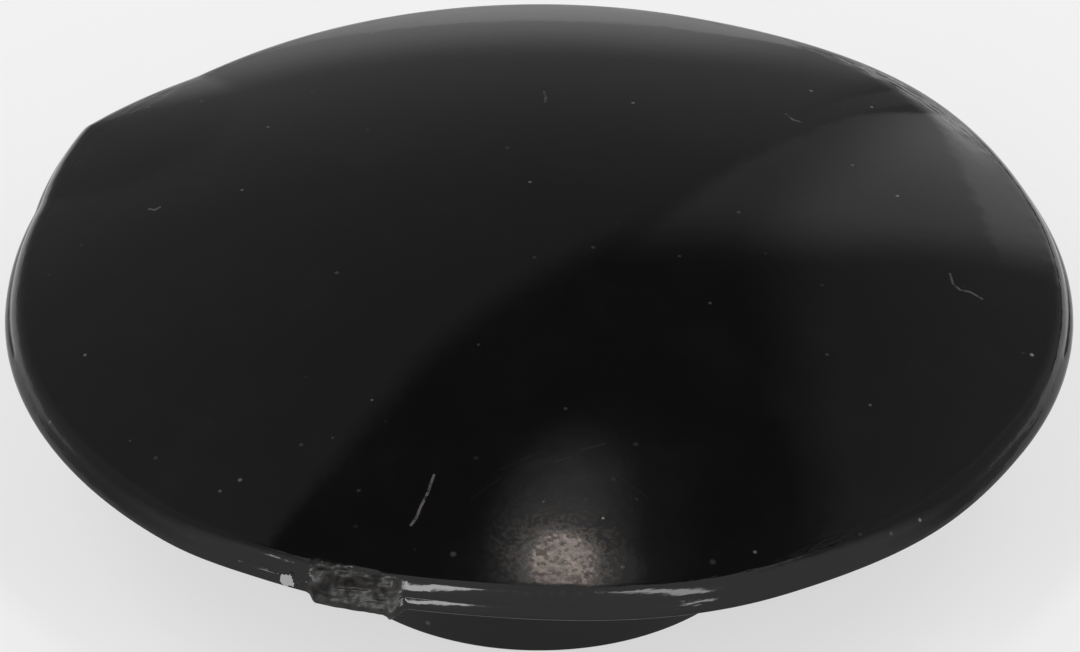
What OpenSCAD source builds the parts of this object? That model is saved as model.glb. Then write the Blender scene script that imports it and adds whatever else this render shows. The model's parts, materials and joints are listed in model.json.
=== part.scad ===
// Rubber cover cap, moulded in one piece: a domed head with a sealing lip, on a hollow spigot.
// Millimetres. The spigot's end stands on z = 0, its axis is Z, and +X is to the right in the photograph.

/* [Head] */
// Diameter of the head, measured over the sealing lip.
head_d = 30; // [26:0.5:36]
// Height of the head, from the sealing lip to the top of its domed face.
head_h = 3.2; // [2.9:0.05:3.8]
// Radius that rounds the domed face down to the mould line.
shoulder_r = 0.63; // [0.55:0.01:0.7]
// Height of that rounding's centre above the sealing lip.
shoulder_h = 0.16; // [0.12:0.01:0.2]
// How far the rounding stays inside the lip, which leaves the mould line between them.
shoulder_in = 0.14; // [0.12:0.01:0.18]
// Thickness of rubber in the middle of the head.
crown_wall = 2.05; // [1.6:0.05:2.2]

/* [Sealing lip] */
// Width of the flat ring that seals on the panel.
lip_w = 0.7; // [0.6:0.05:1.2]
// Radius that rounds the lip up to the mould line.
lip_r = 0.35; // [0.3:0.01:0.4]
// Bevel on the lip's lower outer edge.
lip_bevel = 0.03; // [0.02:0.01:0.08]

/* [Spigot] */
// Diameter of the spigot that presses into the hole.
spigot_d = 13.3; // [10:0.1:16]
// Length of the spigot below the sealing lip.
spigot_l = 7; // [4:0.1:12]
// Thickness of the spigot's wall around its hollow.
spigot_wall = 2; // [1.5:0.1:2.5]
// Bevel on the outer edge of the spigot's end.
spigot_bevel = 0.05; // [0.05:0.05:0.5]
// Bevel around the mouth of the hollow.
mouth_bevel = 0.3; // [0.1:0.05:0.6]
// Fillet where the spigot joins the underside of the head.
root_r = 0.6; // [0.3:0.1:1]
// Radius that rounds the roof of the hollow.
roof_r = 0.8; // [0.3:0.1:1.5]

/* [Soft corner] */
// Direction in which the edge bulges out, counted from +X towards +Y.
corner_angle = 147; // [120:1:170]
// How far the bulge reaches past the round edge.
corner_reach = 0.6; // [0.3:0.05:0.75]
// Radius of the bulge, seen from above.
corner_r = 6.6; // [5:0.1:8]
// Radius that rounds the bulge's outer edge.
corner_lip_r = 0.28; // [0.24:0.01:0.3]
// How far the bulge lies inside the dome above it and clear of the panel below it.
corner_inset = 0.04; // [0.02:0.01:0.06]

/* [Gate stub] */
// Direction of the torn-off moulding gate, counted from +X towards +Y.
gate_angle = 250; // [240:1:260]
// Width of the stub along the edge.
gate_w = 3; // [2:0.1:4]
// How far the stub stands out past the lip.
gate_reach = 0.15; // [0.1:0.01:0.3]
// Height of the stub.
gate_h = 0.42; // [0.38:0.02:0.5]
// Height of the stub's underside above the sealing lip.
gate_lift = 0.06; // [0.04:0.01:0.1]
// Slant of the torn face, leaning in at the top.
gate_slant = 14; // [5:1:25]
// Width of the chip that the tearing took out of the edge above the stub.
chip_w = 1.3; // [0.8:0.1:2]
// How deep the chip goes in from the rounding above the mould line.
chip_depth = 0.2; // [0.1:0.02:0.26]
// Slant of the chip's flat, from upright.
chip_slant = 42; // [30:1:60]

/* [Hidden] */
$fn = 96;
rubber = [0.06, 0.06, 0.06];
overlap = 0.4;
// A rounding stands this far past the faces it joins, so that their surfaces cross cleanly.
blend = 0.003;

head_r = head_d / 2;
lip_z = spigot_l;
top_z = lip_z + head_h;

// The domed face is a ball that touches the inside of the rounded shoulder.
shoulder_x = head_r - shoulder_in - shoulder_r;
shoulder_z = lip_z + shoulder_h;
crown_h = head_h - shoulder_h;
dome_r = (shoulder_x ^ 2 + crown_h ^ 2 - shoulder_r ^ 2) / (2 * (crown_h - shoulder_r));
dome_z = top_z - dome_r;
shoulder_touch_x = shoulder_x * dome_r / (dome_r - shoulder_r);

// The hollow under the head is another ball, which ends at the lip.
hollow_edge_r = head_r - lip_w;
hollow_h = head_h - crown_wall;
hollow_r = (hollow_edge_r ^ 2 + hollow_h ^ 2) / (2 * hollow_h);
hollow_z = lip_z + hollow_h - hollow_r;

// The root fillet is a circle that touches the spigot and the inside of the hollow.
spigot_r = spigot_d / 2;
root_x = spigot_r + root_r;
root_z = hollow_z + sqrt((hollow_r - root_r) ^ 2 - root_x ^ 2);
root_touch_x = root_x * hollow_r / (hollow_r - root_r);

bore_r = spigot_r - spigot_wall;
bore_roof_z = top_z - crown_wall;
gate_span = gate_w / head_r * 180 / PI;
gate_z = lip_z + gate_lift;

// Section of the head's edge: a rounded shoulder above a rounded lip, with the mould line between them.
module edge_section()
{
    intersection()
    {
        union()
        {
            translate([0, lip_z])
                square([shoulder_x, shoulder_h]);
            translate([shoulder_x + blend, shoulder_z + blend])
                circle(shoulder_r);
            translate([head_r - lip_r, lip_z])
                circle(lip_r);
        }
        polygon([
            [0, lip_z],
            [head_r - lip_bevel, lip_z],
            [head_r - lip_bevel + head_h, lip_z + head_h],
            [0, lip_z + head_h]
        ]);
    }
}

// Section of the head under its domed face, with the sealing lip around a shallow hollow.
module head_section()
{
    difference()
    {
        union()
        {
            intersection()
            {
                translate([0, dome_z])
                    circle(dome_r);
                translate([0, lip_z])
                    square([shoulder_touch_x, head_h + overlap]);
            }
            edge_section();
        }
        translate([0, hollow_z])
            circle(hollow_r);
    }
}

// Fillet between the spigot and the underside of the head.
module root_section()
{
    difference()
    {
        translate([spigot_r - overlap, root_z])
            square([root_touch_x - spigot_r + overlap, root_r + overlap]);
        translate([root_x - blend, root_z + blend])
            circle(root_r);
    }
}

// Section of the spigot, with a bevel on its end.
module spigot_section()
{
    polygon([
        [0, 0],
        [spigot_r - spigot_bevel, 0],
        [spigot_r, spigot_bevel],
        [spigot_r, bore_roof_z + overlap],
        [0, bore_roof_z + overlap]
    ]);
}

// Section of the spigot's blind hollow, with a bevelled mouth and a rounded roof.
module bore_section()
{
    translate([0, -overlap])
        square([bore_r, bore_roof_z - roof_r + overlap]);
    square([bore_r - roof_r, bore_roof_z]);
    translate([bore_r - roof_r, bore_roof_z - roof_r])
        circle(roof_r);
    polygon([
        [0, -overlap],
        [bore_r + mouth_bevel + overlap, -overlap],
        [bore_r, mouth_bevel],
        [0, mouth_bevel]
    ]);
}

// The whole cap as one revolve.
module cap_body()
{
    rotate_extrude()
        intersection()
        {
            translate([0, -overlap])
                square([head_d, top_z + 2 * overlap]);
            difference()
            {
                union()
                {
                    head_section();
                    root_section();
                    spigot_section();
                }
                bore_section();
            }
        }
}

// Section of the soft corner's own edge, a rounded lip that the dome goes on over.
module corner_section()
{
    bottom_z = lip_z + corner_inset;
    translate([0, bottom_z])
        square([corner_r - corner_lip_r, head_h]);
    intersection()
    {
        translate([corner_r - corner_lip_r, bottom_z])
            circle(corner_lip_r);
        translate([0, bottom_z])
            square([corner_r + overlap, head_h]);
    }
}

// The edge bulges out into a soft corner, where the moulding came out of round.
module soft_corner()
{
    rotate(corner_angle)
        difference()
        {
            intersection()
            {
                translate([head_r + corner_reach - corner_r, 0, 0])
                    rotate_extrude()
                        corner_section();
                translate([0, 0, dome_z])
                    sphere(dome_r - corner_inset);
            }
            translate([0, 0, lip_z - overlap])
                cylinder(h = head_h + overlap, r = hollow_edge_r + lip_w / 2);
        }
}

// What is left of the moulding gate: a short stub with a slanted torn face.
module gate_stub()
{
    lean = gate_h * tan(gate_slant);
    rotate(gate_angle - gate_span / 2)
        rotate_extrude(angle = gate_span)
            polygon([
                [head_r - lip_w / 2, gate_z],
                [head_r + gate_reach, gate_z],
                [head_r + gate_reach - lean, gate_z + gate_h],
                [head_r - lip_w / 2, gate_z + gate_h]
            ]);
}

// The flat chip that tearing the gate took out of the edge.
module gate_chip()
{
    rotate(gate_angle)
        translate([shoulder_x + shoulder_r - chip_depth, 0, shoulder_z + shoulder_r / 2])
            rotate([0, -chip_slant, 0])
                translate([0, -chip_w / 2, -shoulder_r / 2])
                    cube([head_h, chip_w, head_h]);
}

module cover_cap()
{
    color(rubber)
        difference()
        {
            union()
            {
                cap_body();
                soft_corner();
                gate_stub();
            }
            gate_chip();
        }
}

cover_cap();
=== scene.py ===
import json
import math

import bmesh
import bpy
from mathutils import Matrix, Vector


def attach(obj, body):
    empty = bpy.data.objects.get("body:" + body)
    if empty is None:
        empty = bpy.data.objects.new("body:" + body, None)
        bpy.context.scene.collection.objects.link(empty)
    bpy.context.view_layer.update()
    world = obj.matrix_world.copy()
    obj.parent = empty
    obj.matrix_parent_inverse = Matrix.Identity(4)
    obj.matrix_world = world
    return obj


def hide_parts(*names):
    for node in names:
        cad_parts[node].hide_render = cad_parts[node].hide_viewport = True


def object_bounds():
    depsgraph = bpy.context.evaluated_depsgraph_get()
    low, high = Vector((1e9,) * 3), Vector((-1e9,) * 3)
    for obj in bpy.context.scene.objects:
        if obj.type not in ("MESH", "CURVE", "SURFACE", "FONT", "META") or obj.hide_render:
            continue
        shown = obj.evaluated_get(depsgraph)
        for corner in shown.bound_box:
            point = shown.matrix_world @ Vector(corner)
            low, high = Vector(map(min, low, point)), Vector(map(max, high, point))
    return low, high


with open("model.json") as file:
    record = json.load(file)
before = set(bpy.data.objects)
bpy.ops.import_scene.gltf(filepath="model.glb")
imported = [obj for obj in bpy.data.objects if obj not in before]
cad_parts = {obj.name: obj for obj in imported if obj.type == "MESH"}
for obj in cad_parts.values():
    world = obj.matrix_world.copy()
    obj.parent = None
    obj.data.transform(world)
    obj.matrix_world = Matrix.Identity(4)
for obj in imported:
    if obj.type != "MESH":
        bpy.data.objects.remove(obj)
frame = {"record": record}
cadLow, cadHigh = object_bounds()
mm = 0.001
slack = 0.01 * mm     # for picking out vertices by their place
mounts = {mount["name"]: mount for mount in frame["record"]["mounts"]}
print("frame loaded, CAD box", tuple(cadLow), tuple(cadHigh))


# modelling helpers

def clearSelection():
    if bpy.context.object and bpy.context.object.mode != "OBJECT":
        bpy.ops.object.mode_set(mode="OBJECT")
    bpy.ops.object.select_all(action="DESELECT")


def activeAs(name):
    piece = bpy.context.object
    piece.name = name
    piece.data.name = name
    return piece


def arcPoints(centre, radius, startDeg, endDeg, steps):
    angles = [math.radians(startDeg + (endDeg - startDeg) * i / steps) for i in range(steps + 1)]
    return [(centre[0] + radius * math.cos(a), centre[1] + radius * math.sin(a)) for a in angles]


def evenSteps(start, end, steps):
    return [tuple(s + (e - s) * i / steps for s, e in zip(start, end)) for i in range(1, steps + 1)]


def tracePath(points):
    # one vertex, pulled along the outline with extrude
    bpy.ops.mesh.primitive_plane_add(size=mm, location=points[0])
    bpy.ops.object.transform_apply(location=True, rotation=True, scale=True)
    bpy.ops.object.mode_set(mode="EDIT")
    bpy.ops.mesh.select_all(action="SELECT")
    bpy.ops.mesh.merge(type="CENTER")
    for here, there in zip(points, points[1:]):
        step = Vector(there) - Vector(here)
        bpy.ops.mesh.extrude_region_move(TRANSFORM_OT_translate={"value": step})


def selectWhere(test):
    # selects the vertices whose place passes the test
    bpy.ops.mesh.select_all(action="DESELECT")
    bpy.ops.mesh.select_mode(type="VERT")
    mesh = bmesh.from_edit_mesh(bpy.context.object.data)
    for vertex in mesh.verts:
        vertex.select_set(bool(test(vertex.co)))
    mesh.select_flush_mode()
    bmesh.update_edit_mesh(bpy.context.object.data)


def selectFaces(test):
    # selects the faces whose middle passes the test
    bpy.ops.mesh.select_all(action="DESELECT")
    bpy.ops.mesh.select_mode(type="FACE")
    mesh = bmesh.from_edit_mesh(bpy.context.object.data)
    for face in mesh.faces:
        face.select_set(bool(test(face.calc_center_median())))
    bmesh.update_edit_mesh(bpy.context.object.data)


def pullSelected(move, reach, falloff):
    # moves what is selected, with the surface around it following
    bpy.ops.transform.translate(value=move, use_proportional_edit=True,
                                proportional_edit_falloff=falloff, proportional_size=reach)


# the photograph's view
camera = {
    "elevation": 35.1,      # degrees above the table, from the shape of the rim's ellipse
    "distance": 300 * mm,
    "lens": 355.6,
    "sensor": 36.0,
    "aimRight": 0.025 * mm,
    "aimBelowLip": 0.55 * mm,
    "picture": (1080, 652),
}

lipZ = mounts["sealing_lip"]["pos_m"][2]
tilt = math.radians(camera["elevation"])
towardsCamera = Vector((0, -math.cos(tilt), math.sin(tilt)))
cameraUp = Vector((0, math.sin(tilt), math.cos(tilt)))
cameraPlace = (Vector((camera["aimRight"], 0, lipZ - camera["aimBelowLip"]))
               + towardsCamera * camera["distance"])


def placeCamera():
    bpy.ops.object.camera_add(location=cameraPlace)
    cam = bpy.context.object
    cam.name = "camera"
    cam.rotation_euler = (math.pi / 2 - tilt, 0, 0)
    cam.data.lens = camera["lens"]
    cam.data.sensor_width = camera["sensor"]
    cam.data.clip_start = 10 * mm
    cam.data.clip_end = 20
    bpy.context.scene.camera = cam


def underPixel(piece, pixel):
    # the place on a piece that a pixel of the photograph shows
    width, height = camera["picture"]
    focal = camera["lens"] / camera["sensor"] * width
    sight = (-towardsCamera + Vector((1, 0, 0)) * ((pixel[0] - width / 2) / focal)
             + cameraUp * ((height / 2 - pixel[1]) / focal))
    return piece.ray_cast(cameraPlace, sight.normalized())[1]


clearSelection()
placeCamera()
print("camera placed")


# sizes of the cap that the frame does not give
cap = {
    "crownWall": 2.05 * mm,
    "shoulderRound": 0.63 * mm,     # from the dome down to the mould line
    "shoulderHeight": 0.16 * mm,
    "shoulderInside": 0.14 * mm,
    "lipRound": 0.35 * mm,
    "lipBevel": 0.015 * mm,
    "lipWidth": 0.7 * mm,
    "rootRound": 0.6 * mm,
    "roofRound": 0.8 * mm,
    "endBevel": 0.04 * mm,
    "mouthBevel": 0.3 * mm,
    "edgeDepth": 0.5 * mm,          # how far in the edge is held when it is pulled
    "turns": 400,                   # steps of the spin
    "merge": 0.002 * mm,
}

spigotR = mounts["spigot"]["dims"]["r_mm"] * mm
boreR = mounts["spigot_hollow"]["dims"]["r_mm"] * mm
topZ = cadHigh.z
headR = (cadHigh.x - cadLow.x) / 2
shoulderX = headR - cap["shoulderInside"] - cap["shoulderRound"]
shoulderZ = lipZ + cap["shoulderHeight"]
crownRise = topZ - shoulderZ
domeR = ((shoulderX ** 2 + crownRise ** 2 - cap["shoulderRound"] ** 2)
         / (2 * (crownRise - cap["shoulderRound"])))
domeZ = topZ - domeR


def mouldLine():
    # where the shoulder's circle meets the lip's circle
    lip = Vector((headR - cap["lipRound"], lipZ))
    shoulder = Vector((shoulderX, shoulderZ))
    apart = lip - shoulder
    along = cap["shoulderRound"] ** 2 - cap["lipRound"] ** 2 + apart.length_squared
    along /= 2 * apart.length
    aside = math.sqrt(cap["shoulderRound"] ** 2 - along ** 2)
    ahead = apart.normalized()
    return shoulder + ahead * along + Vector((-ahead.y, ahead.x)) * aside, shoulder, lip


def degreesTo(centre, point):
    return math.degrees(math.atan2(point[1] - centre[1], point[0] - centre[0]))


def capOutline():
    line, shoulder, lip = mouldLine()
    rimDeg = degreesTo((0, domeZ), shoulder)
    hollowX = headR - cap["lipWidth"]
    hollowRise = topZ - cap["crownWall"] - lipZ
    hollowR = (hollowX ** 2 + hollowRise ** 2) / (2 * hollowRise)
    hollowZ = lipZ + hollowRise - hollowR
    rootX = spigotR + cap["rootRound"]
    rootZ = hollowZ + math.sqrt((hollowR - cap["rootRound"]) ** 2 - rootX ** 2)
    rootDeg = degreesTo((0, hollowZ), (rootX, rootZ))
    lipDeg = degreesTo((0, hollowZ), (hollowX, lipZ))
    roofZ = topZ - cap["crownWall"]
    roofTurn = (boreR - cap["roofRound"], roofZ - cap["roofRound"])
    bevelDeg = math.degrees(math.asin(cap["lipBevel"] / cap["lipRound"]))

    points = arcPoints((0, domeZ), domeR, 90, rimDeg + 0.9, 34)
    points += arcPoints((0, domeZ), domeR, rimDeg + 0.8, rimDeg, 6)
    points += arcPoints(shoulder, cap["shoulderRound"], rimDeg, degreesTo(shoulder, line), 16)[1:]
    points += arcPoints(lip, cap["lipRound"], degreesTo(lip, line), bevelDeg, 10)[1:]
    points += [(headR - cap["lipBevel"], lipZ)]
    points += evenSteps(points[-1], (hollowX, lipZ), 3)
    points += arcPoints((0, hollowZ), hollowR, lipDeg, rootDeg, 14)[1:]
    points += arcPoints((rootX, rootZ), cap["rootRound"], rootDeg, 180, 8)[1:]
    points += evenSteps(points[-1], (spigotR, cap["endBevel"]), 8)
    points += [(spigotR - cap["endBevel"], 0)]
    points += evenSteps(points[-1], (boreR + cap["mouthBevel"], 0), 2)
    points += [(boreR, cap["mouthBevel"])]
    points += evenSteps(points[-1], (boreR, roofTurn[1]), 5)
    points += arcPoints(roofTurn, cap["roofRound"], 0, 90, 6)[1:]
    points += evenSteps(points[-1], (0, roofZ), 3)
    return [(x, 0, z) for x, z in points]


def spinCap():
    clearSelection()
    tracePath(capOutline())
    bpy.ops.mesh.select_all(action="SELECT")
    bpy.ops.mesh.spin(steps=cap["turns"], angle=2 * math.pi, center=(0, 0, 0), axis=(0, 0, 1))
    bpy.ops.mesh.select_all(action="SELECT")
    bpy.ops.mesh.remove_doubles(threshold=cap["merge"])
    bpy.ops.mesh.normals_make_consistent(inside=False)
    return activeAs("cover_cap_rubber")


# where the moulding came out of round: degrees from +X, outward and upward move, reach and kind of the pull
unround = {
    "softCorner": (147.5, 0.58 * mm, 0.03 * mm, 3.8 * mm, "LINEAR"),
    "softSkirt": (151.0, 0.14 * mm, 0.0, 7.0 * mm, "SMOOTH"),
    "fullBackRight": (44.0, 0.27 * mm, 0.0, 7.0 * mm, "SMOOTH"),
    "fullRight": (315.0, 0.12 * mm, 0.0, 4.5 * mm, "SMOOTH"),
    "flatFront": (262.0, -0.34 * mm, 0.12 * mm, 8.5 * mm, "SMOOTH"),
    "flatLeft": (238.0, -0.07 * mm, 0.03 * mm, 3.0 * mm, "SMOOTH"),
}


def turnFrom(place, turn):
    # angle around the axis from a direction to a place
    return math.remainder(math.atan2(place.y, place.x) - turn, 2 * math.pi)


def pullEdge(degrees, out, up, reach, falloff):
    turn = math.radians(degrees)
    halfStep = math.pi / cap["turns"]

    def onEdge(place):
        outside = math.hypot(place.x, place.y) > headR - cap["edgeDepth"]
        return abs(turnFrom(place, turn)) <= halfStep and outside and place.z >= lipZ - slack

    selectWhere(onEdge)
    pullSelected(Vector((math.cos(turn) * out, math.sin(turn) * out, up)), reach, falloff)


# where the mould line closes up: degrees from and to, outward move
closedLine = {
    "fading": (276.0, 280.0, 0.02 * mm),
    "closed": (280.0, 350.0, 0.039 * mm),
    "closedLeft": (190.0, 236.0, 0.039 * mm),
}
closing = {
    "longest": 13,          # degrees that one straight pull spans at most
    "near": 0.005 * mm,     # what counts as on the line
    "reach": 0.17 * mm,
}


def closeLine(start, end, out):
    # in short runs, each pulled straight out
    line = mouldLine()[0]
    runs = math.ceil((end - start) / closing["longest"])
    half = math.radians((end - start) / runs / 2)
    for run in range(runs):
        turn = math.radians(start) + half * (2 * run + 1)

        def onLine(place):
            offLine = abs(math.hypot(place.x, place.y) - line.x) + abs(place.z - line.y)
            return abs(turnFrom(place, turn)) <= half and offLine < closing["near"]

        selectWhere(onLine)
        pullSelected(Vector((math.cos(turn) * out, math.sin(turn) * out, 0)), closing["reach"], "SHARP")


def pushUnround():
    for facts in closedLine.values():
        closeLine(*facts)
    for facts in unround.values():
        pullEdge(*facts)


# the torn-off moulding gate at the front left
gate = {
    "degrees": 250.0,
    "fineHalf": 10.0,               # degrees to each side that get a finer mesh
    "fineDepth": 1.5 * mm,
    "cuts": 3,
    "tornHalf": 1.4 * mm,
    "tornDepth": 0.75 * mm,
    "tear": 0.035 * mm,             # height and spacing of the torn roughness
    "tearSize": 0.2 * mm,
    "rubbed": 5,                    # rounds of smoothing
    "stripDepth": 0.5,              # how far in the strips below reach at the lip, in millimetres,
    "stripLean": 0.8,               # and how much further for their height above it
}

# what the tearing left, each a strip of the edge: along from and to, height above the lip from and to,
# outward and upward move, reach, kind of pull; all in millimetres
gateMoves = {
    "stub": (-1.05, 1.15, 0.0, 0.36, 0.26, -0.09, 0.32, "SMOOTH"),
    "flake": (1.15, 1.4, 0.0, 0.3, 0.12, -0.08, 0.16, "SMOOTH"),
    "pocket": (-1.1, -0.88, 0.42, 0.6, -0.16, -0.04, 0.28, "SMOOTH"),
    "notch": (-0.55, 0.5, 0.65, 0.75, -0.1, -0.05, 0.24, "SMOOTH"),
    "ledgeLow": (-0.42, 0.0, 0.48, 0.55, 0.1, 0.0, 0.12, "SMOOTH"),
    "ledgeHigh": (0.0, 0.4, 0.52, 0.58, 0.1, 0.01, 0.12, "SMOOTH"),
    "groove": (-0.4, 0.1, 0.42, 0.45, -0.04, 0.0, 0.08, "SMOOTH"),
    "ledgeLeft": (-0.5, -0.42, 0.56, 0.62, 0.08, 0.05, 0.1, "LINEAR"),
    "ledgeRight": (0.48, 0.56, 0.62, 0.7, 0.08, 0.05, 0.1, "LINEAR"),
    "ridgeTop": (0.6, 0.68, 0.55, 0.65, 0.12, 0.03, 0.12, "LINEAR"),
    "ridgeFoot": (0.76, 0.9, 0.42, 0.52, 0.14, 0.0, 0.13, "LINEAR"),
    "hollowRight": (0.95, 1.1, 0.5, 0.7, -0.08, -0.03, 0.2, "SMOOTH"),
    "chipHigh": (-0.1, -0.04, 0.34, 0.4, 0.06, 0.03, 0.1, "LINEAR"),
    "chipLow": (0.2, 0.3, 0.1, 0.16, 0.06, 0.02, 0.12, "LINEAR"),
    "chipLeft": (-0.6, -0.5, 0.12, 0.2, 0.05, 0.0, 0.12, "LINEAR"),
    "fleckLeft": (-1.25, -1.15, 0.74, 0.8, 0.04, 0.02, 0.12, "LINEAR"),
    "fleckRight": (-0.8, -0.3, 0.76, 0.8, 0.04, 0.0, 0.1, "SMOOTH"),
}

# the small flat that was rubbed on the lip to the left of the gate; it faces the front light
flat = {
    "along": (-2.3 * mm, -1.72 * mm),
    "height": (0.05 * mm, 0.37 * mm),
    "inside": 0.24 * mm,            # its middle, in from the round edge
    "depth": 0.6 * mm,              # how far in it goes
    "waver": 0.25,                  # share by which its outline wavers, and how often along and up
    "waves": (5, 3),
    "faces": (258.4, 40.7),         # degrees from +X and upwards
    "keep": 0.03,                   # share of the rounding that is left
    "reach": 0.12 * mm,
}
gateTurn = math.radians(gate["degrees"])
gateOut = Vector((math.cos(gateTurn), math.sin(gateTurn), 0))
gateAlong = Vector((-math.sin(gateTurn), math.cos(gateTurn), 0))


def alongGate(place):
    # length along the edge from the middle of the gate
    return turnFrom(place, gateTurn) * headR


def flatMiddle():
    turn = gateTurn + sum(flat["along"]) / 2 / headR
    radius = headR - flat["inside"]
    return Vector((radius * math.cos(turn), radius * math.sin(turn), lipZ + sum(flat["height"]) / 2))


def tearGate():
    fineHalf = math.radians(gate["fineHalf"]) * headR

    def nearEdge(place, half, depth):
        outside = math.hypot(place.x, place.y) > headR - depth
        return outside and place.z > lipZ - slack and abs(alongGate(place)) < half

    selectFaces(lambda place: nearEdge(place, fineHalf, gate["fineDepth"]))
    bpy.ops.mesh.subdivide(number_cuts=gate["cuts"])
    for start, end, low, high, out, up, reach, falloff in gateMoves.values():
        turn = gateTurn + (start + end) / 2 * mm / headR
        outward = Vector((math.cos(turn), math.sin(turn), 0))

        def onStrip(place):
            height = (place.z - lipZ) / mm
            inside = (headR - math.hypot(place.x, place.y)) / mm
            outside = inside < gate["stripDepth"] + gate["stripLean"] * height
            return outside and start <= alongGate(place) / mm <= end and low <= height <= high

        selectWhere(onStrip)
        pullSelected((outward * out + Vector((0, 0, up))) * mm, reach * mm, falloff)

    start, end = flat["along"]
    low, high = flat["height"]
    wavesAlong, wavesUp = flat["waves"]

    def onFlat(place):
        across = (2 * alongGate(place) - start - end) / (end - start)
        upward = (2 * (place.z - lipZ) - low - high) / (high - low)
        uneven = flat["waver"] * math.sin(wavesAlong * across + wavesUp * upward)
        outside = math.hypot(place.x, place.y) > headR - flat["depth"]
        return outside and math.hypot(across, upward) + uneven < 1

    selectWhere(onFlat)
    turn, rise = (math.radians(angle) for angle in flat["faces"])
    facing = Vector((math.cos(turn) * math.cos(rise), math.sin(turn) * math.cos(rise), math.sin(rise)))
    across = facing.orthogonal().normalized()
    bpy.ops.transform.resize(
        value=(1, 1, flat["keep"]), orient_type="GLOBAL", orient_matrix_type="GLOBAL",
        orient_matrix=(across, facing.cross(across), facing), constraint_axis=(False, False, True),
        center_override=flatMiddle(),
        use_proportional_edit=True, proportional_edit_falloff="SMOOTH", proportional_size=flat["reach"])

    selectWhere(lambda place: nearEdge(place, gate["tornHalf"], gate["tornDepth"]))
    bpy.ops.mesh.vertices_smooth(factor=0.5, repeat=gate["rubbed"])
    bpy.ops.object.vertex_group_add()
    bpy.ops.object.vertex_group_assign()
    bpy.ops.object.mode_set(mode="OBJECT")
    tear = bpy.data.textures.new("tear", "CLOUDS")
    tear.noise_scale = gate["tearSize"]
    bpy.ops.object.modifier_add(type="DISPLACE")
    torn = bpy.context.object.modifiers[-1]
    torn.texture = tear
    torn.strength = gate["tear"]
    torn.vertex_group = bpy.context.object.vertex_groups[-1].name
    bpy.ops.object.modifier_apply(modifier=torn.name)


capPiece = spinCap()
print("cap spun,", len(bmesh.from_edit_mesh(capPiece.data).verts), "vertices")
pushUnround()
print("edge pushed out of round")
tearGate()
bpy.ops.object.shade_smooth_by_angle(angle=math.radians(40))
bpy.context.view_layer.update()
print("gate torn off,", len(capPiece.data.polygons), "faces")


class Wire:
    # an output socket; arithmetic on it adds Math nodes

    def __init__(self, bench, socket):
        self.bench = bench
        self.socket = socket

    def __add__(self, other):
        return self.bench.calc("ADD", self, other)

    def __radd__(self, other):
        return self.bench.calc("ADD", other, self)

    def __sub__(self, other):
        return self.bench.calc("SUBTRACT", self, other)

    def __rsub__(self, other):
        return self.bench.calc("SUBTRACT", other, self)

    def __mul__(self, other):
        return self.bench.calc("MULTIPLY", self, other)

    def __rmul__(self, other):
        return self.bench.calc("MULTIPLY", other, self)

    def __truediv__(self, other):
        return self.bench.calc("DIVIDE", self, other)

    def __pow__(self, other):
        return self.bench.calc("POWER", self, other)


class Bench:
    # the node tree of one material or of the world

    def __init__(self, owner):
        owner.use_nodes = True
        self.tree = owner.node_tree
        self.tree.nodes.clear()

    def add(self, kind, settings=None, sockets=None, out=0):
        node = self.tree.nodes.new(kind)
        for key, value in (settings or {}).items():
            setattr(node, key, value)
        for key, value in (sockets or {}).items():
            if isinstance(value, Wire):
                self.tree.links.new(value.socket, node.inputs[key])
            else:
                node.inputs[key].default_value = value
        if not len(node.outputs):
            return node
        if isinstance(out, tuple):
            return [Wire(self, node.outputs[name]) for name in out]
        return Wire(self, node.outputs[out])

    def calc(self, operation, *values):
        return self.add("ShaderNodeMath", {"operation": operation}, dict(enumerate(values)))

    def vector(self, operation, *values, out="Vector"):
        return self.add("ShaderNodeVectorMath", {"operation": operation}, dict(enumerate(values)), out)

    def along(self, place, direction):
        return self.vector("DOT_PRODUCT", place, direction, out="Value")

    def distance(self, place, point):
        return self.vector("DISTANCE", place, point, out="Value")

    def blendColour(self, factor, first, second):
        return self.add("ShaderNodeMix", {"data_type": "RGBA"}, {0: factor, 6: first, 7: second}, out=2)

    def smooth(self, value, start, end, most=1.0):
        # 0 at the start, the most at the end, with soft ends; the start may be the larger of the two
        return self.add("ShaderNodeMapRange", {"interpolation_type": "SMOOTHSTEP", "clamp": False},
                        {"Value": value, "From Min": start, "From Max": end, "To Max": most})


def newMaterial(name):
    material = bpy.data.materials.new(name)
    return material, Bench(material)


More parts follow.
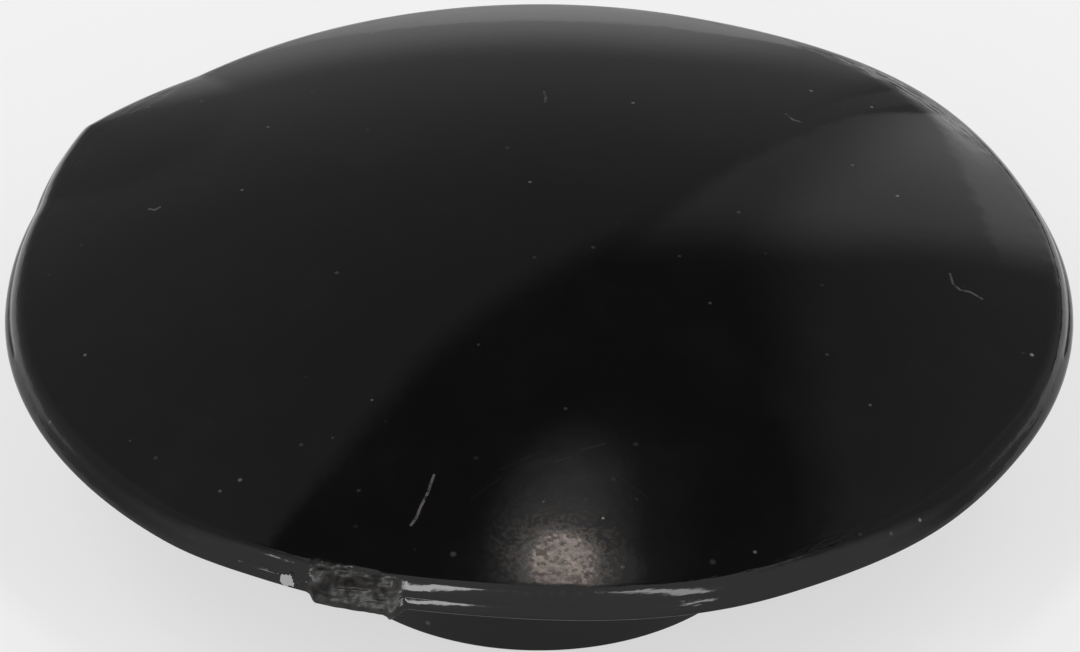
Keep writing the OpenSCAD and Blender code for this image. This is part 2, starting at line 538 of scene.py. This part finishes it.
# finish of the rubber; heights, spacings and distances are sizes on the cap
rubber = {
    "base": (0.0042, 0.0037, 0.0037, 1),
    "worn": (0.0055, 0.0049, 0.0048, 1),
    "torn": (0.019, 0.0178, 0.0158, 1),
    "scratched": (0.03, 0.029, 0.028, 1),
    "dusty": (0.3, 0.29, 0.28, 1),
    "ior": 1.38,
    "cloud": 2.2 * mm,              # spacing of the worn areas
    "grain": 0.2 * mm,              # and of the fine grain
    "peel": 0.0009 * mm,            # height and spacing of the fine waves
    "peelSize": 0.4 * mm,
    "sag": 0.003 * mm,              # and of the slow waves
    "sagSize": 4.0 * mm,
    "handledAt": (560, 545),        # the handled patch at the front, a pixel of the photograph
    "scuff": 0.0003 * mm,           # height of the grain around it, and where it fades out
    "scuffFade": (1.0 * mm, 4.5 * mm),
    "fleck": 0.14 * mm,             # spacing of its dulled flecks, and where they fade out
    "fleckFade": (1.3 * mm, 2.6 * mm),
    "edgeFrom": (0.9 * mm, 0.5 * mm),   # in from the round edge, where its streaks begin
    "streaks": 0.007 * mm,          # height, length and width of the streaks along the edge
    "streakLong": 0.7 * mm,
    "streakWide": 0.12 * mm,
    "wobble": 0.012 * mm,           # height and spacing of the waves along it
    "wobbleSize": 0.9 * mm,
    "flatFade": (0.2 * mm, 0.4 * mm),   # the rubbed flat has no streaks
    "tornFrom": (0.9 * mm, 0.65 * mm),  # in from the round edge, where the torn gate begins
    "tornHalf": (1.15 * mm, 1.45 * mm),
    "tornGrain": 0.008 * mm,
    "dustRise": 0.01 * mm,
    "fibreWide": 0.075 * mm,
    "scratchWide": 0.06 * mm,
    "faintDust": 0.14,              # paleness and spacing of the faint specks all over
    "faintSize": 0.8 * mm,
}
# roughness of plain rubber, and what each mark adds to it
rough = {
    "plain": 0.04,
    "worn": 0.012,
    "flecks": 0.12,
    "edge": 0.03,
    "torn": 0.25,
    "dust": 0.4,
    "scratch": 0.1,
}

# dust on the cap, by pixels of the photograph: specks with size in millimetres and paleness
specks = [
    (633, 103, 0.12, 0.4), (268, 127, 0.1, 0.3), (242, 190, 0.12, 0.25), (530, 182, 0.12, 0.3),
    (85, 355, 0.12, 0.35), (240, 480, 0.14, 0.3), (1032, 355, 0.14, 0.6), (897, 196, 0.14, 0.4),
    (755, 552, 0.12, 0.3), (920, 520, 0.12, 0.5), (50, 422, 0.12, 0.3), (372, 400, 0.1, 0.25),
    (428, 623, 0.16, 0.35), (603, 518, 0.1, 0.7), (220, 491, 0.12, 0.2), (870, 405, 0.12, 0.2),
    (453, 554, 0.19, 0.1), (476, 458, 0.17, 0.03), (543, 501, 0.1, 0.08), (586, 499, 0.13, 0.04),
    (614, 479, 0.18, 0.035), (636, 444, 0.15, 0.05), (637, 499, 0.11, 0.05), (713, 562, 0.2, 0.06),
    (811, 91, 0.14, 0.3), (871, 107, 0.12, 0.2), (852, 165, 0.12, 0.25), (710, 303, 0.12, 0.15),
]
# fibres as a run of pixels with their paleness
fibres = [
    ((434, 475), (431, 483), (428, 492), (421, 506), (416, 518), (411, 525), 0.3),
    ((950, 274), (953, 284), (960, 290), (970, 292), (982, 299), 0.22),
    ((149, 209), (155, 210), (160, 207), 0.3),
    ((786, 114), (793, 120), (801, 122), 0.22),
    ((544, 92), (546, 97), (545, 102), 0.2),
]
# scratches as a run of pixels with their strength
scratches = [
    ((581, 450), (604, 444), 0.3), ((554, 462), (571, 457), 0.25), ((582, 571), (598, 585), 0.8),
    ((500, 470), (540, 452), 0.1), ((610, 470), (648, 498), 0.1), ((470, 500), (500, 478), 0.08),
]


def blackRubber():
    material, bench = newMaterial("black_rubber")
    place = bench.add("ShaderNodeTexCoord", out="Object")

    def noise(size, detail, roughness=0.5):
        # size is the spacing of the pattern
        return bench.add("ShaderNodeTexNoise", {"noise_dimensions": "3D"},
                         {"Vector": place, "Scale": 1 / size, "Detail": detail, "Roughness": roughness})

    def near(point, fade):
        # 1 around a point, fading out between two distances from it
        return 1 - bench.smooth(bench.distance(place, point), *fade)

    def streak(run, width, strength):
        # a line through pixels of the photograph, laid on the cap
        away = width
        spots = [underPixel(capPiece, pixel) for pixel in run]
        for start, end in zip(spots, spots[1:]):
            step = end - start
            ahead = bench.along(bench.vector("SUBTRACT", place, start), step / step.length_squared)
            inside = bench.add("ShaderNodeClamp", None, {"Value": ahead})
            foot = bench.vector("MULTIPLY_ADD", inside, step, start)
            away = bench.calc("MINIMUM", bench.distance(place, foot), away)
        return bench.smooth(away, width * 0.6, width * 0.3, strength)

    # where the marks are
    cloud = noise(rubber["cloud"], 4.0, 0.6)
    grain = noise(rubber["grain"], 2.0)
    deep, shallow = rubber["tornFrom"]
    aside = bench.calc("ABSOLUTE", bench.along(place, gateAlong))
    torn = (bench.smooth(bench.along(place, gateOut), headR - deep, headR - shallow)
            * (1 - bench.smooth(aside, *rubber["tornHalf"])))
    handledAt = underPixel(capPiece, rubber["handledAt"])
    scuffed = near(handledAt, rubber["scuffFade"])
    flecks = near(handledAt, rubber["fleckFade"]) * bench.smooth(noise(rubber["fleck"], 2.0), 0.4, 0.64)

    # dust and scratches
    dust = 0.0
    for x, y, size, pale in specks:
        wide = size * mm
        away = bench.distance(place, underPixel(capPiece, (x, y)))
        uneven = bench.calc("MULTIPLY_ADD", grain, 0.25 * wide, away)
        dust = bench.calc("MAXIMUM", bench.smooth(uneven, wide * 0.7, wide * 0.35, pale), dust)
    thinned = bench.smooth(grain, 0.2, 0.6)
    for *run, pale in fibres:
        dust = bench.calc("MAXIMUM", streak(run, rubber["fibreWide"], pale) * thinned, dust)
    away, tint = bench.add("ShaderNodeTexVoronoi", None, {
        "Vector": place, "Scale": 1 / rubber["faintSize"]}, out=("Distance", "Color"))
    chance = bench.add("ShaderNodeSeparateColor", None, {"Color": tint}, out="Red")
    faint = bench.smooth(away, 0.1, 0.04) * bench.smooth(chance, 0.7, 1.0, rubber["faintDust"])
    dust = bench.calc("MAXIMUM", faint, dust)
    scratch = 0.0
    for *run, strength in scratches:
        scratch = bench.calc("MAXIMUM", streak(run, rubber["scratchWide"], strength), scratch)

    # streaks that run along the edge
    x, y, z = bench.add("ShaderNodeSeparateXYZ", None, {"Vector": place}, out=("X", "Y", "Z"))
    radius = (x * x + y * y) ** 0.5
    turned = bench.calc("ARCTAN2", y, x) * (headR / rubber["streakLong"])
    edgewise = bench.add("ShaderNodeCombineXYZ", None, {
        0: turned, 1: radius * (1 / rubber["streakWide"]), 2: z * (1 / rubber["streakWide"])})
    drawn = bench.add("ShaderNodeTexNoise", None, {"Vector": edgewise, "Scale": 1.0, "Detail": 2.0})
    deep, shallow = rubber["edgeFrom"]
    edge = (bench.smooth(radius, headR - deep, headR - shallow)
            * bench.smooth(bench.distance(place, flatMiddle()), *rubber["flatFade"]))

    colour = bench.blendColour(bench.smooth(cloud, 0.42, 0.75), rubber["base"], rubber["worn"])
    colour = bench.blendColour(torn * bench.smooth(grain, 0.35, 0.65), colour, rubber["torn"])
    colour = bench.blendColour(scratch, colour, rubber["scratched"])
    colour = bench.blendColour(dust, colour, rubber["dusty"])
    roughness = (rough["plain"] + rough["worn"] * bench.smooth(cloud, 0.35, 0.7) + rough["flecks"] * flecks
                 + rough["edge"] * edge + rough["torn"] * torn + rough["dust"] * dust
                 + rough["scratch"] * scratch)
    height = (rubber["peel"] * noise(rubber["peelSize"], 2.0)
              + rubber["sag"] * noise(rubber["sagSize"], 1.0)
              + rubber["scuff"] * scuffed * grain + rubber["streaks"] * edge * (drawn - 0.5)
              + rubber["wobble"] * edge * (noise(rubber["wobbleSize"], 1.0) - 0.5)
              + rubber["tornGrain"] * torn * grain + rubber["dustRise"] * dust)
    surface = bench.add("ShaderNodeBump", None, {"Strength": 1.0, "Distance": 1.0, "Height": height})
    shader = bench.add("ShaderNodeBsdfPrincipled", None, {
        "Base Color": colour, "Roughness": roughness, "IOR": rubber["ior"], "Normal": surface})
    bench.add("ShaderNodeOutputMaterial", None, {"Surface": shader})
    return material


capPiece.data.materials.clear()
capPiece.data.materials.append(blackRubber())
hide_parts("cover_cap")
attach(capPiece, "root")
print("rubber finish on")


# floor and world
studio = {
    "floorSize": 8.0,
    "floorColour": (0.95, 0.95, 0.95, 1),
    "floorWhite": 0.6,     # share of plain white in what the camera and the gloss see of the floor
    "worldDiffuse": 0.4,
}


def seenDirectly(bench):
    # 1 for what the camera, gloss and glass see, 0 for the light that falls on things
    rays = bench.add("ShaderNodeLightPath", out=("Is Camera Ray", "Is Glossy Ray", "Is Transmission Ray"))
    return bench.calc("MINIMUM", rays[0] + rays[1] + rays[2], 1.0)


def whiteFloor():
    clearSelection()
    bpy.ops.mesh.primitive_plane_add(size=studio["floorSize"])
    floor = activeAs("floor")
    material, bench = newMaterial("white_floor")
    matt = bench.add("ShaderNodeBsdfDiffuse", None, {"Color": studio["floorColour"]})
    white = bench.add("ShaderNodeEmission", None, {"Color": (1, 1, 1, 1), "Strength": 1.0})
    both = bench.add("ShaderNodeMixShader", None,
                     {0: seenDirectly(bench) * studio["floorWhite"], 1: matt, 2: white})
    bench.add("ShaderNodeOutputMaterial", None, {"Surface": both})
    floor.data.materials.append(material)


def whiteWorld():
    world = bpy.data.worlds.new("studio")
    bpy.context.scene.world = world
    bench = Bench(world)
    strength = studio["worldDiffuse"] + (1 - studio["worldDiffuse"]) * seenDirectly(bench)
    sky = bench.add("ShaderNodeBackground", None, {"Color": (1, 1, 1, 1), "Strength": strength})
    bench.add("ShaderNodeOutputWorld", None, {"Surface": sky})


def onWall(azimuth, elevation, depth):
    # where the line of sight from the cap meets a wall; azimuth counts from straight ahead to the right
    a, e = math.radians(azimuth), math.radians(elevation)
    return Vector((math.tan(a), 1, math.tan(e) / math.cos(a))) * depth


def wallCorners(wall):
    return [onWall(azimuth, elevation, wall["depth"]) for azimuth, elevation in wall["corners"]]


def towards(azimuth, elevation):
    a, e = math.radians(azimuth), math.radians(elevation)
    return Vector((math.sin(a) * math.cos(e), math.cos(a) * math.cos(e), math.sin(e)))


def hangSheet(name, corners, paint, right=(1, 0, 0), upward=(0, 0, 1)):
    # a flat sheet by its corners (lower left, lower right, upper left, upper right) that only mirrors see;
    # paint gives its level, or its level and colour
    clearSelection()
    bpy.ops.mesh.primitive_plane_add(size=1)
    sheet = activeAs(name)
    for vertex, corner in zip(sheet.data.vertices, corners):
        vertex.co = corner
    material, bench = newMaterial(name)
    place = bench.add("ShaderNodeTexCoord", out="Object")
    level, colour = paint(bench, bench.along(place, right), bench.along(place, upward)), (1, 1, 1, 1)
    if isinstance(level, tuple):
        level, colour = level
    glow = bench.add("ShaderNodeEmission", None, {"Color": colour, "Strength": level})
    bench.add("ShaderNodeOutputMaterial", None, {"Surface": glow})
    sheet.data.materials.append(material)
    sheet.visible_camera = False
    sheet.visible_shadow = False
    sheet.visible_diffuse = False


# the room that the dome mirrors, as sheets around the cap; levels are shares of white
room = {
    "back": 2.2,            # depth of the dark back wall
    "half": 4,              # half width of that wall and of the ceiling
    "ceiling": 6.0,
    "ceilingEnd": 1.06,     # the room is open from here to the front
    "side": 2.7,
    "front": -1.0,          # how far the side walls come forward
    "dark": 0.036,
    "leftSideLevel": 0.42,
    "rightSideLevel": 0.36,
    "openLevel": 0.9,       # of the side walls where the room is open, and how far back that goes
    "openTo": 0.3,
    "sideFoot": 0.08,       # added to them low down
}

# walls at the back; their heights and places to the right are shares of their depth,
# and corners are degrees to the right and upwards
leftWall = {
    "depth": 1.8,
    "level": 0.14,
    "rise": 0.15,           # how it brightens to the left
    "farLeft": -2.6,
    "footEnd": 13,          # degrees to the right where its foot and its top end
    "topEnd": 8,
    "edgeUp": 0.915,        # its soft upper edge slopes down to the right
    "edgeSlope": -1.9,
    "edgeSoft": 0.09,
    "foot": 0.33,           # brighter along the floor, and less so at the right
    "footTop": 0.158,
    "footFade": (0.05, 0.14),
    "footFaded": 0.6,
    "haze": 0.065,
    "hazeUp": (0.1, 0.65),
}
rightWall = {
    "depth": 1.7,
    "corners": ((9, 22), (53, 20), (9, 45), (53, 74)),
    "level": 0.1,
    "rise": 0.28,           # how it brightens to the right, and from where
    "riseFrom": 0.2,
    "edgeAt": (0.31, 0.91),     # a point on its soft edge, which slopes up to the right
    "edgeSlope": 3.2,
    "edgeSoft": 0.28,
}
lowWall = {
    "depth": 1.65,
    "corners": ((7.5, 0), (53, 0), (7.5, 16), (53, 16)),
    "level": 0.17,
    "from": (0.16, 0.2),    # where the left wall passes into it
    "glow": 1.35,           # brightest, along the floor below a sloping edge
    "glowAt": (0.238, 0.15),
    "glowSlope": 1.45,
    "glowSoft": 0.03,
    "glowEnd": (0.25, 0.34),
}
doorway = {
    "depth": 1.6,
    "corners": ((11.6, 5), (53, 5), (3.2, 42), (53, 42)),
    "level": 0.29,
    "rise": 0.24,           # how it brightens to the right
    "riseOver": (0.19, 0.28),
    "lowRight": 0.2,        # and towards its lower right
    "lowRightUp": (0.2, 0.45),
    "lowRightFrom": (0.2, 0.3),
    "sliver": 0.25,         # and below a sloping edge there
    "sliverAt": (0.238, 0.157),
    "sliverSlope": 1.92,
    "sliverSoft": 0.012,
    "corner": (0.205, 0.249),   # where the sill meets the jamb
    "sillSlope": 2.08,
    "sillSoft": 0.008,
    "jambLean": 0.203,
    "jambSoft": 0.005,      # it softens above a height
    "jambSofter": 0.05,
    "softerFrom": 0.3,
    "lintel": (0.58, 0.84),     # its soft upper end, which drops to the right
    "lintelFrom": 0.167,
    "lintelSlope": 0.55,
    "dropFrom": 0.3,
    "drop": 0.9,
    "ragged": 0.03,         # how far its edges waver, and the spacing in metres
    "raggedSize": 0.05,
}


def furnishRoom():
    back, top, half = room["back"], room["ceiling"], room["half"]
    side, front, openAt = room["side"], room["front"], room["ceilingEnd"]

    def darkPaint(bench, across, up):
        return room["dark"]

    hangSheet("backWall", [(-half, back, 0), (half, back, 0), (-half, back, top), (half, back, top)],
              darkPaint)
    hangSheet("ceiling", [(-half, openAt, top), (half, openAt, top), (-half, back, top), (half, back, top)],
              darkPaint)

    def sidePaint(level):
        # brighter towards the front, where the room is open, and low down
        def paint(bench, depth, up):
            opened = 1 - bench.smooth(depth, front, room["openTo"])
            low = 1 - bench.smooth(up, 0.0, 1.0)
            return level + (room["openLevel"] - level) * opened + room["sideFoot"] * low
        return paint

    for name, x in (("leftSide", -side), ("rightSide", side)):
        hangSheet(name, [(x, front, 0), (x, back, 0), (x, front, top), (x, back, top)],
                  sidePaint(room[name + "Level"]), right=(0, 1, 0))

    # the left wall ends above in a soft sloping edge
    left, slope, farLeft = leftWall["depth"], leftWall["edgeSlope"], leftWall["farLeft"]
    edgeUp, edgeSoft = leftWall["edgeUp"] * left, leftWall["edgeSoft"] * left

    def leftPaint(bench, across, up):
        fadeFrom, fadeTo = leftWall["footFade"]
        hazeFrom, hazeTo = leftWall["hazeUp"]
        leftward = bench.calc("MAXIMUM", across * (-1 / left), 0.0)
        foot = (leftWall["foot"] * (1 - bench.smooth(up, 0.0, leftWall["footTop"] * left))
                * (1 - leftWall["footFaded"] * bench.smooth(across, fadeFrom * left, fadeTo * left)))
        haze = leftWall["haze"] * (1 - bench.smooth(up, hazeFrom * left, hazeTo * left))
        edge = 1 - bench.smooth(up - (edgeUp + slope * across), -edgeSoft, edgeSoft)
        return (leftWall["level"] + leftWall["rise"] * leftward + (foot + haze)) * edge + room["dark"]

    topEnd = onWall(leftWall["topEnd"], 0, left).x
    hangSheet("leftWall", [(farLeft, left, 0), onWall(leftWall["footEnd"], 0, left),
                           (farLeft, left, edgeUp + slope * farLeft + edgeSoft),
                           (topEnd, left, edgeUp + slope * topEnd + edgeSoft)], leftPaint)

    # the right wall fades out along a slope to the upper left
    def rightPaint(bench, across, up, depth=rightWall["depth"]):
        x, z = across * (1 / depth), up * (1 / depth)
        edgeX, edgeZ = rightWall["edgeAt"]
        rightward = bench.calc("MAXIMUM", x - rightWall["riseFrom"], 0.0)
        fromEdge = z - edgeZ - rightWall["edgeSlope"] * (x - edgeX)
        edge = 1 - bench.smooth(fromEdge, -rightWall["edgeSoft"], rightWall["edgeSoft"])
        return (rightWall["level"] + rightWall["rise"] * rightward) * edge + room["dark"]

    hangSheet("rightWall", wallCorners(rightWall), rightPaint)

    # below the doorway, bright only along the floor
    low = lowWall["depth"]

    def floorGlow(bench, x, z):
        glowX, glowZ = lowWall["glowAt"]
        soft = lowWall["glowSoft"]
        below = bench.smooth(lowWall["glowSlope"] * (x - glowX) + glowZ - z, -soft, soft)
        return lowWall["glow"] * below * (1 - bench.smooth(x, *lowWall["glowEnd"]))

    def lowPaint(bench, across, up):
        start, end = lowWall["from"]
        beside = bench.smooth(across, start * low, end * low)
        besideLeft = leftPaint(bench, across * (left / low), up * (left / low))
        return lowWall["level"] * beside + besideLeft * (1 - beside)

    def lowWallPaint(bench, across, up):
        return lowPaint(bench, across, up) + floorGlow(bench, across * (1 / low), up * (1 / low))

    hangSheet("lowWall", wallCorners(lowWall), lowWallPaint)

    # the bright doorway at the back right, brightest at its lower right
    door = doorway["depth"]

    def doorPaint(bench, across, up):
        x, z = across * (1 / door), up * (1 / door)
        place = bench.add("ShaderNodeTexCoord", out="Object")
        waver = bench.add("ShaderNodeTexNoise", None, {
            "Vector": place, "Scale": 1 / doorway["raggedSize"], "Detail": 2.0})
        ragged = doorway["ragged"] * (waver - 0.5)
        cornerX, cornerZ = doorway["corner"]
        sliverX, sliverZ = doorway["sliverAt"]

        lowRight = (1 - bench.smooth(z, *doorway["lowRightUp"])) * bench.smooth(x, *doorway["lowRightFrom"])
        fromSliver = doorway["sliverSlope"] * (x - sliverX) + sliverZ - z + 2 * ragged
        sliver = bench.smooth(fromSliver, -doorway["sliverSoft"], doorway["sliverSoft"])
        glow = (doorway["level"] + doorway["rise"] * bench.smooth(x, *doorway["riseOver"])
                + doorway["lowRight"] * lowRight + doorway["sliver"] * sliver)

        lintel = (z + doorway["lintelSlope"] * (x - doorway["lintelFrom"])
                  + doorway["drop"] * bench.calc("MAXIMUM", x - doorway["dropFrom"], 0.0))
        fromSill = z + doorway["sillSlope"] * (x - cornerX) - cornerZ + ragged
        sill = bench.smooth(fromSill, -doorway["sillSoft"], doorway["sillSoft"])
        higher = bench.calc("MAXIMUM", z - doorway["softerFrom"], 0.0)
        jambSoft = doorway["jambSoft"] + doorway["jambSofter"] * higher
        fromJamb = x + doorway["jambLean"] * (z - cornerZ) - cornerX + 0.5 * ragged
        jamb = bench.smooth(fromJamb, -1 * jambSoft, jambSoft)
        opening = (1 - bench.smooth(lintel, *doorway["lintel"])) * sill * jamb

        besideRight = (rightPaint(bench, across, up, door) * sill
                       + lowPaint(bench, across * (low / door), up * (low / door)) * (1 - sill))
        besideLeft = leftPaint(bench, across * (left / door), up * (left / door))
        beside = besideRight * jamb + besideLeft * (1 - jamb)
        return glow * opening + beside * (1 - opening) + floorGlow(bench, x, z)

    hangSheet("doorGlow", wallCorners(doorway), doorPaint)


# the warm ceiling light, which the dome mirrors near its front edge; angles in degrees
ceilingLight = {
    "azimuth": 5.6,
    "elevation": 73.4,
    "distance": 1.2,
    "halfWidth": 2.15,
    "halfHeight": 3.2,
    "level": 7.0,
    "colour": (1.0, 0.85, 0.76, 1),
    "mottle": 0.009,        # spacing of the light and dark bits in its cover
    "dimTop": 0.5,          # how much it dims towards its upper end
    "ring": 1.0,            # dimmer rim of its cover
    "halo": 0.75,           # on the wall below it
    "haze": 0.12,
    "wing": 0.7,            # fainter second light to the right
    "patches": 0.03,        # spacing of the patches around it
    # ovals, in halves of the light's own size: centre to the right, half width and half height
    "ringOval": (-0.2, 1.25, 1.05),
    "haloOval": (-0.1, 2.8, 5.5),
    "hazeOval": (0.6, 4.2, 6.0),
    "wingOval": (1.7, 0.85, 0.85),
    "sheet": (5.4, -6.0, 2.1),  # half width, lower end and upper end of the whole sheet
}


def hangCeilingLight():
    middle = towards(ceilingLight["azimuth"], ceilingLight["elevation"]) * ceilingLight["distance"]
    turn = math.radians(ceilingLight["azimuth"])
    right = Vector((math.cos(turn), -math.sin(turn), 0))
    upward = right.cross(middle.normalized())
    wide = ceilingLight["distance"] * math.tan(math.radians(ceilingLight["halfWidth"]))
    high = ceilingLight["distance"] * math.tan(math.radians(ceilingLight["halfHeight"]))

    def paint(bench, across, up):
        place = bench.add("ShaderNodeTexCoord", out="Object")

        def oval(centre, width, height):
            # 1 on the oval, less inside it
            sideways = (across * (1 / wide) - centre) / width
            return (sideways ** 2 + (up * (1 / (high * height))) ** 2) ** 0.5

        def within(name, start, end):
            # 1 in the middle of an oval, fading out between two shares of its size
            return 1 - bench.smooth(oval(*ceilingLight[name]), start, end)

        bits = bench.add("ShaderNodeTexNoise", None, {
            "Vector": place, "Scale": 1 / ceilingLight["mottle"], "Detail": 2.0, "Roughness": 0.6})
        patchy = bench.add("ShaderNodeTexNoise", None, {
            "Vector": place, "Scale": 1 / ceilingLight["patches"]})
        core = 1 - bench.smooth(oval(0.0, 1.0, 1.0) + 0.25 * bits, 1.02, 1.22)
        cover = ((0.4 + 1.2 * bench.smooth(bits, 0.4, 0.6))
                 * (1 - ceilingLight["dimTop"] * bench.smooth(up, 0.1 * high, high)))
        level = (ceilingLight["level"] * core * cover
                 + ceilingLight["ring"] * (1 - core) * within("ringOval", 0.9, 1.05)
                 + ceilingLight["halo"] * (0.4 + 1.2 * patchy) * within("haloOval", 0.2, 1.0)
                 + ceilingLight["haze"] * within("hazeOval", 0.3, 1.0)
                 + ceilingLight["wing"] * patchy * within("wingOval", 0.5, 1.25)
                 + room["dark"])
        return level, bench.blendColour(core, (1, 1, 1, 1), ceilingLight["colour"])

    half, lower, upper = ceilingLight["sheet"]
    corners = [middle + right * (half * wide * x) + upward * (high * y)
               for x, y in ((-1, lower), (1, lower), (-1, upper), (1, upper))]
    hangSheet("ceilingLight", corners, paint, right, upward)


# lamps: degrees to the right from straight ahead and upwards, distance, width and height, power in watts
lamps = {
    "softboxLeft": (205, 45, 0.6, (0.065, 0.42), 1.1),
    "softboxRight": (151, 49, 0.6, (0.08, 0.46), 0.9),
    "softboxFarLeft": (242, 45, 0.6, (0.025, 0.04), 0.03),
}


def hangLamp(name, azimuth, elevation, distance, size, power):
    clearSelection()
    place = towards(azimuth, elevation) * distance
    bpy.ops.object.light_add(type="AREA", location=place)
    lamp = bpy.context.object
    lamp.name = name
    lamp.data.shape = "RECTANGLE"
    lamp.data.size, lamp.data.size_y = size
    lamp.data.energy = power
    lamp.rotation_euler = (-place).to_track_quat("-Z", "Y").to_euler()
    lamp.visible_camera = False


whiteFloor()
whiteWorld()
furnishRoom()
hangCeilingLight()
for name, facts in lamps.items():
    hangLamp(name, *facts)
bpy.context.scene.view_settings.view_transform = "Standard"
print("floor, room and lamps in place")
